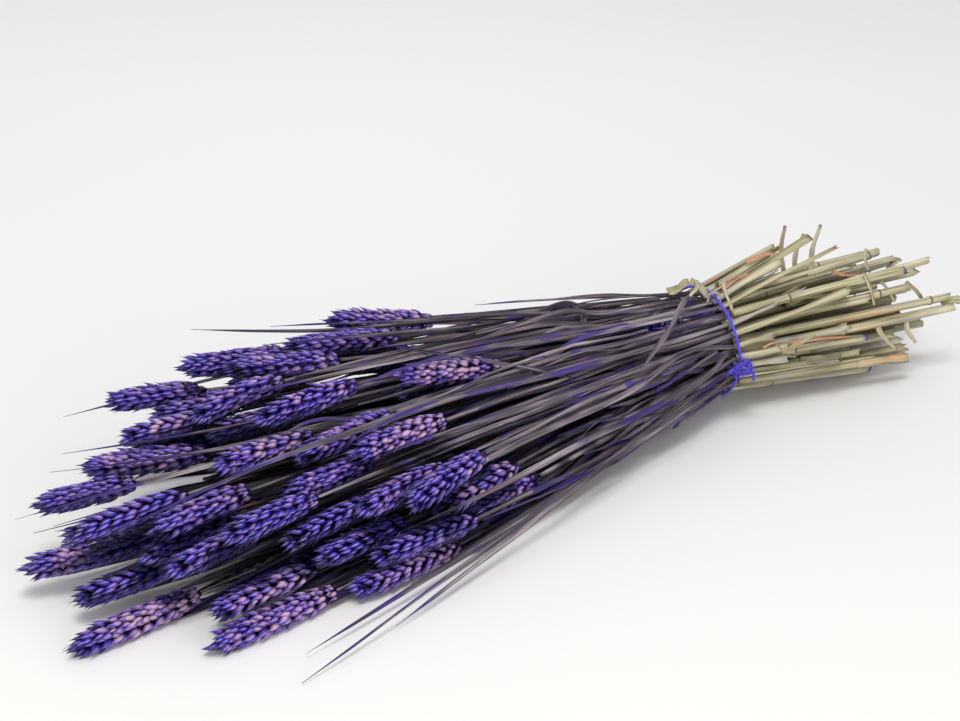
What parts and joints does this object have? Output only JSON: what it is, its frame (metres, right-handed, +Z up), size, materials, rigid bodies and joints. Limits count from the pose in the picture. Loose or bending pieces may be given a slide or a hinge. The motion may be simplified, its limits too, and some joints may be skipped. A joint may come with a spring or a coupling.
{
  "type": "bundle of dried wheat",
  "caption": "Tied bundle of dyed, dried wheat lying on its side: bearded heads on leafy stems, a string round the waist and cut straw ends.",
  "frame": {"origin": "centre of the bottom of the bounding box, on the surface that the bundle lies on", "axes": "+Z up; X along the bundle, the heads point to -X and the cut straw ends to +X; the knot is on the -Y side"},
  "size_m": [0.6942, 0.3248, 0.1075],
  "materials": {
    "dyed_ear": "matt, violet dye, husk-like",
    "dyed_stem": "dull grey-mauve straw stained with violet dye",
    "straw": "satin, undyed and salmon-tinged straw",
    "string": "twisted, fluffy, blue-violet cotton string"
  },
  "bodies": {
    "root": {"ear_01": "dyed_ear", "ear_02": "dyed_ear", "ear_03": "dyed_ear", "ear_04": "dyed_ear", "ear_05": "dyed_ear", "ear_06": "dyed_ear", "ear_07": "dyed_ear", "ear_08": "dyed_ear", "ear_09": "dyed_ear", "ear_10": "dyed_ear", "ear_11": "dyed_ear", "ear_12": "dyed_ear", "ear_13": "dyed_ear", "ear_14": "dyed_ear", "ear_15": "dyed_ear", "ear_16": "dyed_ear", "ear_17": "dyed_ear", "ear_18": "dyed_ear", "ear_19": "dyed_ear", "ear_20": "dyed_ear", "ear_21": "dyed_ear", "ear_22": "dyed_ear", "ear_23": "dyed_ear", "ear_24": "dyed_ear", "ear_25": "dyed_ear", "ear_26": "dyed_ear", "ear_27": "dyed_ear", "ear_28": "dyed_ear", "ear_29": "dyed_ear", "ear_30": "dyed_ear", "ear_31": "dyed_ear", "ear_32": "dyed_ear", "ear_33": "dyed_ear", "ear_34": "dyed_ear", "ear_35": "dyed_ear", "ear_36": "dyed_ear", "ear_37": "dyed_ear", "ear_38": "dyed_ear", "ear_39": "dyed_ear", "ear_40": "dyed_ear", "ear_41": "dyed_ear", "ear_42": "dyed_ear", "ear_43": "dyed_ear", "ear_44": "dyed_ear", "ear_45": "dyed_ear", "ear_46": "dyed_ear", "ear_47": "dyed_ear", "ear_48": "dyed_ear", "ear_49": "dyed_ear", "ear_50": "dyed_ear", "ear_51": "dyed_ear", "ear_52": "dyed_ear", "culms": "dyed_stem", "butts": "straw", "tie": "string"}
  },
  "joints": []
}
